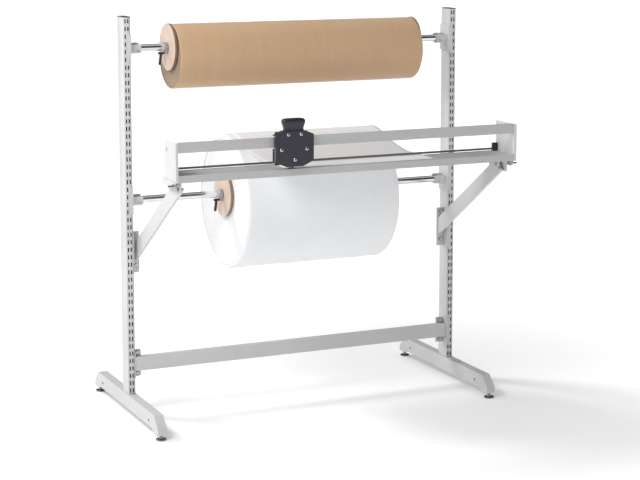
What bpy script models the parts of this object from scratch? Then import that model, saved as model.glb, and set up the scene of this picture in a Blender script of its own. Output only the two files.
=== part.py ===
"""Free-standing stand for two packing rolls, with a cutter that slides along a rail.

Metres, +Z up. +X runs along the rolls, to the right of someone in front of the stand, and -Y is the
front, where the cutter is. The world origin is on the floor under the middle of the whole object. The
design's own origin, the empty called stand, is on the floor between the uprights' centre lines.
"""

from math import cos, hypot, pi, radians, sin

import bmesh
import bpy
from mathutils import Matrix

# ---------------------------------------------------------------- driving dimensions (metres)
GAP = 0.0003                   # between pieces that touch or run on each other

UPRIGHT_X = 0.765              # centre line of each upright, from the middle of the stand
UPRIGHT_WIDTH, UPRIGHT_DEPTH, UPRIGHT_WALL = 0.030, 0.075, 0.0025
UPRIGHT_TOP = 1.697
SLOT_PITCH, SLOT_ROWS, FIRST_SLOT_Z = 0.032, 50, 0.1133
SLOT_WIDTH, SLOT_HEIGHT, SLOT_COLUMN = 0.0055, 0.018, 0.00615
INNER_FACE = UPRIGHT_X - UPRIGHT_WIDTH / 2
FRONT_FACE = -UPRIGHT_DEPTH / 2

FOOT_TOP, FOOT_WIDTH, FOOT_WALL = 0.097, 0.040, 0.0025
FOOT_HALF_LENGTH, FOOT_PLATE_Z, FOOT_EDGE_Z = 0.425, 0.025, 0.035
LEVEL_Y, LEVEL_RADIUS = 0.408, 0.022
STUD_RADIUS = 0.005

SHEET = 0.003                  # sheet steel of the brackets and plates
LIP_X = 0.762                  # how far the hook-in brackets reach over the uprights' front
CROSSBAR_LOW, CROSSBAR_HIGH = 0.195, 0.255
CROSSBAR_FRONT, CROSSBAR_BACK = -0.035, -0.005

ROD_RADIUS, ROD_BORE, ROD_HALF = 0.015, 0.013, 0.745
UPPER_ROD_Z, LOWER_ROD_Z = 1.566, 0.926
KRAFT = {"left": -0.563, "right": 0.565, "radius": 0.137, "core": 0.061, "bore": 0.055}
FOAM = {"left": -0.320, "right": 0.373, "radius": 0.291, "core": 0.053, "bore": 0.0487}
FOAM_BULGE = 0.007             # how far the soft ends stand out round the discs
WEB_LEFT, WEB_RIGHT = -0.288, 0.388
DISC_RADIUS, DISC_THICK = 0.099, 0.012
COLLAR_RADIUS, COLLAR_LONG = 0.021, 0.015
LEVER_DROP, LEVER_STUB, LEVER_HANDLE = 0.025, 0.026, 0.050

ARM_SLOPE = 0.66               # rise per unit of reach towards the front
ARM_INNER, ARM_DEPTH, ARM_WALL = 0.718, 0.012, 0.0025
ARM_FOOT_Y, ARM_FOOT_LOW, ARM_FOOT_HIGH = -0.004, 0.668, 0.746
ARM_PLATE_LOW, ARM_PLATE_HIGH = 0.616, 0.792

PLATE_X = 0.755                # outer face of the cutter unit's end plates
PLATE_FRONT, PLATE_BACK = -0.615, -0.460
UNIT_LOW, UNIT_HIGH = 1.084, 1.241
RAIL_FRONT, RAIL_BACK, RAIL_LOW, RAIL_HIGH = -0.612, -0.600, 1.202, 1.243
RAIL_HALF = PLATE_X - SHEET - GAP
GROOVE_FRONT, GROOVE_BACK = -0.594, -0.588
BAR_Y, BAR_HALF_DEPTH, BAR_LOW, BAR_HIGH = -0.470, 0.0035, 1.1172, 1.1252

HEAD_X, HEAD_HALF_WIDTH = -0.267, 0.0825
HEAD_FRONT, HEAD_BACK = -0.640, -0.5973
HEAD_LOW, HEAD_SHOULDER, HEAD_TOP = 1.124, 1.268, 1.317

REAR_END = LEVEL_Y + LEVEL_RADIUS
MIDDLE_Y = -(HEAD_FRONT + REAR_END) / 2


# ---------------------------------------------------------------- scene and materials
for old in list(bpy.data.objects):
    bpy.data.objects.remove(old, do_unlink=True)

parts = bpy.data.collections.new("packing_roll_stand")
cutters = bpy.data.collections.new("cutters")
bpy.context.scene.collection.children.link(parts)
bpy.context.scene.collection.children.link(cutters)


def material(name, colour, roughness, metallic=0.0):
    new = bpy.data.materials.new(name)
    new.use_nodes = True
    shader = new.node_tree.nodes["Principled BSDF"]
    shader.inputs["Base Color"].default_value = (*colour, 1)
    shader.inputs["Roughness"].default_value = roughness
    shader.inputs["Metallic"].default_value = metallic
    return new


PAINT = material("light_grey_paint", (0.78, 0.78, 0.77), 0.45)
ALUMINIUM = material("aluminium", (0.66, 0.66, 0.66), 0.35, 1.0)
CHROME = material("chrome", (0.75, 0.75, 0.75), 0.12, 1.0)
ZINC = material("zinc_plate", (0.55, 0.60, 0.66), 0.35, 1.0)
BLADE_STEEL = material("blade_steel", (0.60, 0.60, 0.62), 0.25, 1.0)
BLACK = material("black_plastic", (0.02, 0.02, 0.02), 0.5)
CHARCOAL = material("charcoal_plastic", (0.035, 0.035, 0.05), 0.4)
NYLON = material("nylon", (0.80, 0.80, 0.76), 0.5)
WOOD = material("plywood", (0.80, 0.60, 0.42), 0.6)
PAPER = material("kraft_paper", (0.52, 0.35, 0.21), 0.8)
CARDBOARD = material("cardboard", (0.45, 0.33, 0.22), 0.9)
FOAM_WHITE = material("white_foam", (0.88, 0.88, 0.88), 0.7)


def empty(name, place, parent=None):
    new = bpy.data.objects.new(name, None)
    new.location = place
    new.parent = parent
    parts.objects.link(new)
    return new


stand = empty("stand", (0, MIDDLE_Y, 0))


def add(name, data, paint, at=(0, 0, 0), turn=(0, 0, 0), parent=None):
    new = bpy.data.objects.new(name, data)
    new.location = at
    new.rotation_euler = turn
    new.parent = parent or stand
    if paint:
        data.materials.append(paint)
        parts.objects.link(new)
    else:
        cutters.objects.link(new)
        new.hide_render = True
        new.display_type = "WIRE"
    return new


# ---------------------------------------------------------------- modelling helpers
# how an outline's plane is turned: its two axes and then the way it is extruded
TURN = {"XY": (0, 0, 0), "XZ": (pi / 2, 0, 0), "YZ": (pi / 2, 0, pi / 2)}
ALONG = {"XY": (0, 0, 1), "XZ": (0, 1, 0), "YZ": (1, 0, 0)}


def arc(centre, radius, start, end, count):
    """Points on an arc, in degrees from start to end, both ends included."""
    steps = [radians(start + (end - start) * i / count) for i in range(count + 1)]
    return [(centre[0] + radius * cos(a), centre[1] + radius * sin(a)) for a in steps]


def ring_points(centre, radius, count):
    return arc(centre, radius, 0, 360, count)[:-1]


def mirrored(outline, side):
    """The outline for the right-hand side, or its mirror image for the left."""
    return [(x * side, y) for x, y in outline]


def extruded(name, outlines, span, plane, paint, at=(0, 0, 0), parent=None):
    """A flat outline, with any holes after it, extruded over span along the plane's normal."""
    curve = bpy.data.curves.new(name, "CURVE")
    curve.dimensions = "2D"
    curve.fill_mode = "BOTH"
    curve.extrude = abs(span[1] - span[0]) / 2
    for outline in outlines:
        spline = curve.splines.new("POLY")
        spline.points.add(len(outline) - 1)
        for point, (x, y) in zip(spline.points, outline):
            point.co = (x, y, 0, 1)
        spline.use_cyclic_u = True
    middle = (span[0] + span[1]) / 2
    place = [a + middle * b for a, b in zip(at, ALONG[plane])]
    return add(name, curve, paint, place, TURN[plane], parent)


def as_mesh(curve_object, paint):
    """The same solid as a welded mesh object, which Boolean can cut or use."""
    bpy.context.view_layer.update()
    seen = curve_object.evaluated_get(bpy.context.evaluated_depsgraph_get())
    mesh = bpy.data.meshes.new_from_object(seen)
    mesh.materials.clear()
    work = bmesh.new()
    work.from_mesh(mesh)
    bmesh.ops.remove_doubles(work, verts=work.verts, dist=0.000001)
    work.to_mesh(mesh)
    work.free()
    name, world = curve_object.name, curve_object.matrix_world.copy()
    parent = curve_object.parent
    bpy.data.objects.remove(curve_object, do_unlink=True)
    new = add(name, mesh, paint, parent=parent)
    new.matrix_world = world
    return new


def solid(name, outlines, span, plane, paint, at=(0, 0, 0), parent=None):
    """An extruded outline that will be cut or joined."""
    return as_mesh(extruded(name, outlines, span, plane, paint, at, parent), paint)


def boxes_mesh(name, boxes):
    work = bmesh.new()
    for low, high in boxes:
        size = [b - a for a, b in zip(low, high)]
        middle = [(a + b) / 2 for a, b in zip(low, high)]
        place = Matrix.Translation(middle) @ Matrix.Diagonal((*size, 1))
        bmesh.ops.create_cube(work, size=1, matrix=place)
    mesh = bpy.data.meshes.new(name)
    work.to_mesh(mesh)
    work.free()
    return mesh


def box(name, low, high, paint, at=(0, 0, 0), parent=None):
    return add(name, boxes_mesh(name, [(low, high)]), paint, at, (0, 0, 0), parent)


def turned(name, profile, paint, at, along="X", closed=True, steps=48, parent=None):
    """A profile of (radius, distance along the axis), outer side from top to bottom, turned a full circle."""
    work = bmesh.new()
    points = [work.verts.new((radius, 0, high)) for radius, high in profile]
    for first, second in zip(points, points[1:]):
        work.edges.new((first, second))
    if closed:
        work.edges.new((points[-1], points[0]))
    mesh = bpy.data.meshes.new(name)
    work.to_mesh(mesh)
    work.free()
    new = add(name, mesh, paint, at, (0, pi / 2, 0) if along == "X" else (0, 0, 0), parent)
    screw = new.modifiers.new("turn", "SCREW")
    screw.axis = "Z"
    screw.steps = screw.render_steps = steps
    screw.use_merge_vertices = True
    screw.merge_threshold = 0.00001
    screw.use_smooth_shade = True
    return new


def tube(name, outer, inner, low, high, paint, at, along="X", steps=48, parent=None):
    profile = [(outer, high), (outer, low), (inner, low), (inner, high)]
    return turned(name, profile, paint, at, along, True, steps, parent)


def combine(target, other, operation):
    modifier = target.modifiers.new(other.name, "BOOLEAN")
    modifier.operation = operation
    modifier.object = other
    return target


def cut(target, cutter):
    return combine(target, cutter, "DIFFERENCE")


def join(target, other):
    return combine(target, other, "UNION")


def sides():
    """Left and right, with the sign that mirrors the right-hand side."""
    return (("left", -1), ("right", 1))


def span(side, near, far):
    """A stretch along X on one side, given by its distances from the middle."""
    return sorted((side * near, side * far))


# ---------------------------------------------------------------- frame
def upright(word, side):
    half_x, half_y = UPRIGHT_WIDTH / 2, UPRIGHT_DEPTH / 2
    outer = [(-half_x, -half_y), (half_x, -half_y), (half_x, half_y), (-half_x, half_y)]
    inner = [(x - UPRIGHT_WALL * (1 if x > 0 else -1), y - UPRIGHT_WALL * (1 if y > 0 else -1)) for x, y in outer]
    at = (side * UPRIGHT_X, 0, 0)
    post = solid(f"{word}_upright", [outer, inner], (FOOT_TOP + GAP, UPRIGHT_TOP), "XY", PAINT, at)
    slots = []
    for row in range(SLOT_ROWS):
        middle = FIRST_SLOT_Z + row * SLOT_PITCH
        for column in (-SLOT_COLUMN, SLOT_COLUMN):
            low = (column - SLOT_WIDTH / 2, FRONT_FACE - 0.002, middle - SLOT_HEIGHT / 2)
            high = (column + SLOT_WIDTH / 2, FRONT_FACE + UPRIGHT_WALL + 0.002, middle + SLOT_HEIGHT / 2)
            slots.append((low, high))
    cut(post, add(f"{word}_slot_cutter", boxes_mesh("slots", slots), None, at))

    cover = (half_x + 0.001, half_y + 0.001, UPRIGHT_TOP + GAP + SHEET)
    cap = box(f"{word}_upright_cap", (-cover[0], -cover[1], UPRIGHT_TOP + GAP), cover, BLACK, at)
    plug = (half_x - UPRIGHT_WALL - GAP, half_y - UPRIGHT_WALL - GAP)
    plug_low = (-plug[0], -plug[1], UPRIGHT_TOP - 0.012)
    join(cap, box(f"{word}_plug", plug_low, (*plug, UPRIGHT_TOP + GAP + 0.001), None, at))


def foot(word, side):
    end, flat, wall = FOOT_HALF_LENGTH, FOOT_HALF_LENGTH - 0.050, FOOT_WALL
    half = [(flat, FOOT_TOP), (end - 0.006, 0.056), (end, 0.042), (end, FOOT_PLATE_Z), (end - 0.055, FOOT_PLATE_Z),
            (0.350, FOOT_EDGE_Z)]
    outline = half + [(-y, z) for y, z in reversed(half)]
    inside = [(flat - 0.001, FOOT_TOP - wall), (end - 0.0085, 0.055), (end - wall, 0.0415),
              (end - wall, FOOT_PLATE_Z + wall + 0.001),
              (end - 0.052, FOOT_PLATE_Z + wall), (end - 0.052, 0.010)]
    hollow = inside + [(-y, z) for y, z in reversed(inside)]
    at = (side * UPRIGHT_X, 0, 0)
    wide = FOOT_WIDTH / 2
    beam = solid(f"{word}_foot_beam", [outline], (-wide, wide), "YZ", PAINT, at)
    cut(beam, solid(f"{word}_foot_hollow", [hollow], (wall - wide, wide - wall), "YZ", None, at))
    for place, y in (("rear", LEVEL_Y), ("front", -LEVEL_Y)):
        hole = ring_points((0, y), STUD_RADIUS + GAP, 16)
        cut(beam, solid(f"{word}_{place}_stud_hole", [hole], (0.015, 0.040), "XY", None, at))
        base = (at[0], y, 0)
        pad = [(0, 0.053), (STUD_RADIUS, 0.053), (STUD_RADIUS, 0.010), (0.009, 0.009), (LEVEL_RADIUS, 0.006),
               (LEVEL_RADIUS, 0), (0, 0)]
        turned(f"{word}_{place}_levelling_foot", pad, ZINC, base, "Z", False, 32)
        nut = [ring_points((0, 0), 0.0098, 6), ring_points((0, 0), STUD_RADIUS + GAP, 16)]
        nut_top = FOOT_PLATE_Z - GAP
        extruded(f"{word}_{place}_lock_nut", nut, (nut_top - 0.008, nut_top), "XY", ZINC, base)


def hook_bracket(name, side, inward, low, high):
    """A sheet with a flange behind the bolted piece, a web on the upright's side and, on the right, a lip."""
    web, back = INNER_FACE - GAP, 0.0018
    lip = FRONT_FACE - GAP
    outline = [(web, back), (inward, back), (inward, back - SHEET), (web - SHEET, back - SHEET)]
    if side > 0:
        outline += [(web - SHEET, lip - SHEET + GAP), (LIP_X, lip - SHEET + GAP), (LIP_X, lip), (web, lip)]
    else:
        outline += [(web - SHEET, lip), (web, lip)]
    return extruded(name, [mirrored(outline, side)], (low, high), "XY", PAINT)


def bolt_plate(name, side, inward, low, high, face, paint):
    """The plate that is bolted to a hook bracket's flange, with its inner corners cut off."""
    outward, corner = INNER_FACE - GAP - SHEET - GAP, 0.010
    outline = [(outward, low), (outward, high), (inward + corner, high), (inward, high - corner),
               (inward, low + corner), (inward + corner, low)]
    return solid(name, [mirrored(outline, side)], face, "XZ", paint)


def crossbar():
    half, wall = INNER_FACE - SHEET - 2 * GAP, 0.002
    front, back, low, high = CROSSBAR_FRONT, CROSSBAR_BACK, CROSSBAR_LOW, CROSSBAR_HIGH
    outer = [(front, low), (back, low), (back, high), (front, high)]
    inner = [(front + wall, low + wall), (back - wall, low + wall), (back - wall, high - wall),
             (front + wall, high - wall)]
    bar = solid("crossbar", [outer, inner], (-half, half), "YZ", PAINT)
    for word, side in sides():
        join(bar, bolt_plate(f"{word}_crossbar_plate", side, 0.713, 0.165, 0.281, (back - 0.0005, -0.0015), None))
        hook_bracket(f"{word}_crossbar_bracket", side, 0.713, 0.165, 0.281)


# ---------------------------------------------------------------- rods and rolls
def rod_holder(name, side, rod_z):
    """A hook-in plate with an open cradle that the rod lies in; its front wall is the lower one."""
    web, front, back = INNER_FACE - GAP, FRONT_FACE - SHEET, 0.045
    lip = FRONT_FACE - GAP
    plate = [(web - SHEET, front), (LIP_X, front), (LIP_X, lip), (web, lip), (web, back), (web - SHEET, back)]
    low = rod_z + 0.0033 - 0.058
    holder = solid(name, [mirrored(plate, side)], (low, low + 0.116), "XY", PAINT)
    half, fit = 0.021, ROD_RADIUS + GAP
    cradle = [(-half, 0.0165), (-half, -half + 0.006), (-half + 0.006, -half), (half - 0.006, -half),
              (half, -half + 0.006), (half, half), (fit, half)]
    cradle += arc((0, 0), fit, 0, -180, 12) + [(-fit, 0.0165)]
    reach = span(side, web - SHEET - 0.050, web - SHEET + 0.001)
    return join(holder, solid(f"{name}_cradle", [cradle], reach, "YZ", None, (0, 0, rod_z)))


def clamp_lever(name, side, at, parent):
    """A stub along the rod with a handle that hangs from it and leans outwards; it turns about the stub."""
    stub, half_width = 0.0055, 0.0075
    outline = [(GAP, stub), (LEVER_STUB, stub), (LEVER_STUB, -stub), (0.0187, -stub), (0.0245, -LEVER_HANDLE),
               (0.0135, -LEVER_HANDLE), (0.0072, -stub), (GAP, -stub)]
    return extruded(name, [mirrored(outline, side)], (-half_width, half_width), "XZ", BLACK, at, parent)


def rod_with_clamps(word, rod_z, roll):
    axis = (0, 0, rod_z)
    pivot = empty(f"{word}_rod_axis", axis, stand)
    tube(f"{word}_rod", ROD_RADIUS, ROD_BORE, -ROD_HALF, ROD_HALF, CHROME, (0, 0, 0), parent=pivot)
    bore = ROD_RADIUS + GAP
    for hand, side in sides():
        face = roll[hand] + side * GAP
        centre = face + side * DISC_THICK / 2
        half = DISC_THICK / 2
        tube(f"{word}_{hand}_disc", DISC_RADIUS, bore, -half, half, WOOD, (centre, 0, 0), parent=pivot)
        face += side * (DISC_THICK + GAP)
        centre, half = face + side * COLLAR_LONG / 2, COLLAR_LONG / 2
        collar_outline = arc((0, 0), COLLAR_RADIUS, -60, 240, 20) + [(-0.0105, -0.030), (0.0105, -0.030)]
        collar_holes = [collar_outline, ring_points((0, 0), bore, 32)]
        extruded(f"{word}_{hand}_collar", collar_holes, (centre - half, centre + half), "YZ", ZINC, (0, 0, 0), pivot)
        face += side * COLLAR_LONG
        clamp_lever(f"{word}_{hand}_lever", side, (face, 0, -LEVER_DROP), pivot)


def roll(word, rod_z, size, paint, rounding, bulge):
    """The roll hangs in its core on the rod, so its centre is below the rod's."""
    centre_z = rod_z + ROD_RADIUS + GAP - size["bore"]
    half = (size["right"] - size["left"]) / 2
    at = ((size["right"] + size["left"]) / 2, 0, centre_z)
    outer, inner = size["radius"], size["core"] + GAP
    edge, full = outer - rounding, half + bulge
    if rounding:
        corner = [(edge + rounding * sin(radians(a)), full - rounding * (1 - cos(radians(a))))
                  for a in (0, 30, 60, 90)]
        end = [(inner, half), (0.140, half), (0.165, full)] + corner
    else:
        end = [(inner, half), (outer, half)]
    turned(f"{word}_roll", end + [(radius, -high) for radius, high in reversed(end)], paint, at, steps=72)
    tube(f"{word}_core", size["core"], size["bore"], -half, half, CARDBOARD, at, steps=48)


def foam_web():
    """The foam runs off the top of its roll and down to the cutter's bed, under the guide bar."""
    top = LOWER_ROD_Z + ROD_RADIUS + GAP - FOAM["bore"] + FOAM["radius"]
    thick = 0.0024
    middle = [(0.0, top + 0.0018), (-0.030, top + 0.0004), (-0.058, top - 0.0038), (-0.088, top - 0.0116),
              (-0.130, top - 0.0258),
              (-0.190, top - 0.0444), (-0.265, top - 0.0600), (-0.340, top - 0.0695), (-0.400, 1.1132),
              (-0.445, 1.1136), (-0.470, 1.1140), (-0.520, 1.1134), (-0.583, 1.1124)]
    upper, lower = [], []
    for index, (y, z) in enumerate(middle):
        before, after = middle[max(index - 1, 0)], middle[min(index + 1, len(middle) - 1)]
        run, rise = after[0] - before[0], after[1] - before[1]
        length = hypot(run, rise)
        normal = (rise / length * thick / 2, -run / length * thick / 2)
        upper.append((y + normal[0], z + normal[1]))
        lower.append((y - normal[0], z - normal[1]))
    extruded("foam_web", [upper + lower[::-1]], (WEB_LEFT, WEB_RIGHT), "YZ", FOAM_WHITE)


# ---------------------------------------------------------------- arms and cutter unit
def arm_edge(y, foot_z):
    return foot_z + (ARM_FOOT_Y - y) * ARM_SLOPE


def arm(word, side):
    """A channel that rises to the front. Both arms are the same piece, with the web on the -X side."""
    top, tip_y, nose_y = UNIT_LOW - SHEET, -0.545, -0.570
    tail_y = ARM_FOOT_Y - (top - ARM_FOOT_HIGH) / ARM_SLOPE
    outline = [(ARM_FOOT_Y, ARM_FOOT_LOW), (ARM_FOOT_Y, ARM_FOOT_HIGH), (tail_y, top), (tip_y, top),
               (nose_y, arm_edge(nose_y, ARM_FOOT_LOW))]
    low_x, high_x = span(side, ARM_INNER, ARM_INNER + ARM_DEPTH)
    channel = solid(f"{word}_arm", [outline], (low_x, high_x), "YZ", PAINT)
    wall = ARM_WALL * hypot(1, ARM_SLOPE)
    ends = (0.010, -0.620)
    hollow = [(ends[0], arm_edge(ends[0], ARM_FOOT_LOW + wall)), (ends[0], arm_edge(ends[0], ARM_FOOT_HIGH - wall)),
              (ends[1], arm_edge(ends[1], ARM_FOOT_HIGH - wall)), (ends[1], arm_edge(ends[1], ARM_FOOT_LOW + wall))]
    cut(channel, solid(f"{word}_arm_hollow", [hollow], (low_x + ARM_WALL, high_x + 0.002), "YZ", None))
    face = (-0.0047, -0.0015)
    plate = bolt_plate(f"{word}_arm_plate", side, 0.713, ARM_PLATE_LOW, ARM_PLATE_HIGH, face, None)
    join(channel, plate)
    hook_bracket(f"{word}_arm_bracket", side, 0.713, ARM_PLATE_LOW, ARM_PLATE_HIGH)


def cutter_mount(word, side):
    """A folded shelf that carries the unit; its cheek is bolted to the outside of the arm's tip."""
    high = UNIT_LOW + 0.0004
    low = high - SHEET
    cheek = ARM_INNER + ARM_DEPTH + GAP
    outline = [(0.704, high), (0.757, high), (0.757, 1.060), (0.757 - SHEET, 1.060), (0.757 - SHEET, low),
               (cheek + SHEET, low), (cheek + SHEET, 1.036), (cheek, 1.036), (cheek, low), (0.704, low)]
    extruded(f"{word}_cutter_mount", [mirrored(outline, side)], (-0.588, -0.440), "XZ", PAINT)


def end_plate(word, side):
    inner, outer, lip = PLATE_X - SHEET, PLATE_X, 0.763
    outline = [(inner, PLATE_BACK), (inner, PLATE_FRONT), (lip, PLATE_FRONT), (lip, PLATE_FRONT + SHEET),
               (outer, PLATE_FRONT + SHEET), (outer, PLATE_BACK)]
    extruded(f"{word}_end_plate", [mirrored(outline, side)], (UNIT_LOW + 0.0007, UNIT_HIGH), "XY", PAINT)


def rails():
    wall = 0.002
    outer = [(RAIL_FRONT, RAIL_LOW), (RAIL_BACK, RAIL_LOW), (RAIL_BACK, RAIL_HIGH), (RAIL_FRONT, RAIL_HIGH)]
    inner = [(RAIL_FRONT + wall, RAIL_LOW + wall), (RAIL_BACK - wall, RAIL_LOW + wall),
             (RAIL_BACK - wall, RAIL_HIGH - wall), (RAIL_FRONT + wall, RAIL_HIGH - wall)]
    extruded("upper_rail", [outer, inner], (-RAIL_HALF, RAIL_HALF), "YZ", ALUMINIUM)

    wall, low, step, floor = 0.0025, UNIT_LOW + 0.0007, 1.113, 1.099
    front, back = PLATE_FRONT, PLATE_BACK - 0.0005
    bed_front, bed_back = 1.1108, 1.1124
    profile = [(front, low), (front, step), (GROOVE_FRONT, step), (GROOVE_FRONT, floor), (GROOVE_BACK, floor),
               (GROOVE_BACK, bed_front), (back, bed_back), (back, low), (back - wall, low),
               (back - wall, bed_back - wall), (GROOVE_BACK + wall, bed_front - wall),
               (GROOVE_BACK + wall, floor - wall), (GROOVE_FRONT - wall, floor - wall),
               (GROOVE_FRONT - wall, step - wall), (front + wall, step - wall), (front + wall, low)]
    extruded("cutting_bed", [profile], (-RAIL_HALF, RAIL_HALF), "YZ", ALUMINIUM)


def guide_bar():
    inner, outer = 0.729, RAIL_HALF
    box("film_guide_bar", (GAP - inner, BAR_Y - BAR_HALF_DEPTH, BAR_LOW), (inner - GAP, BAR_Y + BAR_HALF_DEPTH, BAR_HIGH),
        BLACK)
    for word, side in sides():
        low_x, high_x = span(side, inner, outer)
        box(f"{word}_bar_holder", (low_x, BAR_Y - 0.008, 1.1127), (high_x, BAR_Y + 0.008, 1.146), BLACK)


def cutter_head():
    slide = empty("cutter_slide", (HEAD_X, 0, 0), stand)
    half = [(0.036, HEAD_LOW), (HEAD_HALF_WIDTH, 1.146), (HEAD_HALF_WIDTH, 1.252), (0.046, HEAD_SHOULDER - 0.001),
            (0.041, HEAD_SHOULDER + 0.006), (0.044, 1.285)]
    half += arc((0.0335, 1.3005), 0.0155, -10, 60, 5) + [(0.025, HEAD_TOP)]
    outline = half + [(-x, z) for x, z in reversed(half)]
    shell = solid("cutter_front_shell", [outline], (HEAD_FRONT, HEAD_BACK), "XZ", CHARCOAL, parent=slide)
    shell_edge = shell.modifiers.new("rounded edges", "BEVEL")
    shell_edge.width, shell_edge.segments = 0.0025, 2
    shell_edge.limit_method, shell_edge.angle_limit = "ANGLE", radians(40)
    notch = boxes_mesh("rail_notch", [((-0.1, -0.617, 1.196), (0.1, -0.590, 1.249))])
    cut(shell, add("rail_notch_cutter", notch, None, parent=slide))

    long, shoe_front, shoe_back = 0.060, -0.617 + GAP, -0.598
    near_rail = RAIL_FRONT - GAP
    top_shoe = [(shoe_front, 1.2487), (shoe_back, 1.2487), (shoe_back, RAIL_HIGH + GAP), (near_rail, RAIL_HIGH + GAP),
                (near_rail, 1.226), (shoe_front, 1.226)]
    low_shoe = [(shoe_front, 1.1963), (shoe_back, 1.1963), (shoe_back, RAIL_LOW - GAP), (near_rail, RAIL_LOW - GAP),
                (near_rail, 1.219), (shoe_front, 1.219)]
    extruded("upper_glide_shoe", [top_shoe], (-long, long), "YZ", NYLON, parent=slide)
    extruded("lower_glide_shoe", [low_shoe], (-long, long), "YZ", NYLON, parent=slide)
    plate_front = HEAD_BACK + GAP
    box("rear_glide_shoe", (-long, RAIL_BACK + GAP, 1.205), (long, plate_front - GAP, 1.240), NYLON, parent=slide)
    box("cutter_rear_plate", (-0.070, plate_front, 1.128), (0.070, plate_front + 0.005, 1.262), CHARCOAL, parent=slide)
    blade_front = plate_front + 0.005 + GAP
    blade_back = blade_front + 0.0008
    blade = [(-0.010, 1.103), (0.014, 1.103), (0.014, 1.160), (-0.014, 1.160), (-0.014, 1.112)]
    extruded("blade", [blade], (blade_front, blade_back), "XZ", BLADE_STEEL, parent=slide)
    box("blade_holder", (-0.018, blade_back + GAP, 1.126), (0.018, blade_back + 0.006, 1.168), ALUMINIUM, parent=slide)


# ---------------------------------------------------------------- the whole stand
for word, side in sides():
    upright(word, side)
    foot(word, side)
    rod_holder(f"upper_{word}_rod_holder", side, UPPER_ROD_Z)
    rod_holder(f"lower_{word}_rod_holder", side, LOWER_ROD_Z)
    arm(word, side)
    cutter_mount(word, side)
    end_plate(word, side)
crossbar()
rod_with_clamps("upper", UPPER_ROD_Z, KRAFT)
rod_with_clamps("lower", LOWER_ROD_Z, FOAM)
roll("kraft", UPPER_ROD_Z, KRAFT, PAPER, 0, 0)
roll("foam", LOWER_ROD_Z, FOAM, FOAM_WHITE, 0.014, FOAM_BULGE)
foam_web()
rails()
guide_bar()
cutter_head()
bpy.context.view_layer.update()
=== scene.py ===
"""Looks of the packing roll stand with a sliding cutter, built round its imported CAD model.

Lengths are in metres. World X runs to the right, -Y to the front and Z up.
"""

from math import cos, pi, radians, sin

import bmesh
import bpy
from mathutils import Matrix, Vector, noise


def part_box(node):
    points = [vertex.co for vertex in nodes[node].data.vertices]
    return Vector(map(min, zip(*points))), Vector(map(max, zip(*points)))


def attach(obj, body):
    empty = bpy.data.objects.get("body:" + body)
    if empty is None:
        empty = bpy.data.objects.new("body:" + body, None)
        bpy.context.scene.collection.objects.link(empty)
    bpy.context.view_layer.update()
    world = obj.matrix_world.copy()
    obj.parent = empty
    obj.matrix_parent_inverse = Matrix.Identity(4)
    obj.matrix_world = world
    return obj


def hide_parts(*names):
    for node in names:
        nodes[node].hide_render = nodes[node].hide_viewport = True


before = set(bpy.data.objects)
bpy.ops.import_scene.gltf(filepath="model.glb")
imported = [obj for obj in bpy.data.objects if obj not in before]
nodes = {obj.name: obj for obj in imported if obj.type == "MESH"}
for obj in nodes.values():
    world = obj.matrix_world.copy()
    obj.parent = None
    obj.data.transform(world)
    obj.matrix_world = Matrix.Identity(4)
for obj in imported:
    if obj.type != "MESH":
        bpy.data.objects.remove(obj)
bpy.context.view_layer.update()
scene = bpy.context.scene

SIDES = (("left", -1), ("right", 1))
LEVELS = ("upper", "lower")


def middle(node):
    low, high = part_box(node)
    return (low + high) / 2


MID_Y = middle("left_upright").y       # the design's Y = 0, between the uprights


# ---------------------------------------------------------------- node helpers
def rgba(colour):
    return colour if isinstance(colour, bpy.types.NodeSocket) else (*colour, 1)


def feed(tree, value, entry):
    """Gives an input socket a link from another socket, or a plain value."""
    if isinstance(value, bpy.types.NodeSocket):
        tree.links.new(value, entry)
    else:
        entry.default_value = value


def add_node(tree, kind, inputs=(), **settings):
    new = tree.nodes.new(kind)
    for key, value in settings.items():
        setattr(new, key, value)
    for key, value in dict(inputs).items():
        feed(tree, value, new.inputs[key])
    return new


def add_ramp(tree, value, stops):
    """A colour ramp over a value, with (position, colour) stops."""
    new = add_node(tree, "ShaderNodeValToRGB", {"Fac": value})
    points = new.color_ramp.elements
    while len(points) < len(stops):
        points.new(0.5)
    for point, (position, colour) in zip(points, stops):
        point.position = position
        point.color = rgba(colour)
    return new.outputs["Color"]


def add_mix(tree, share, a, b):
    """Mixes two colours. 6 and 7 are the mix node's colour inputs, and 2 is its colour output."""
    inputs = {0: share, 6: rgba(a), 7: rgba(b)}
    return add_node(tree, "ShaderNodeMix", inputs, data_type="RGBA").outputs[2]


# ---------------------------------------------------------------- materials
NOISE_LOW, NOISE_HIGH = 0.3, 0.7       # most of a noise texture's values lie between these


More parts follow.
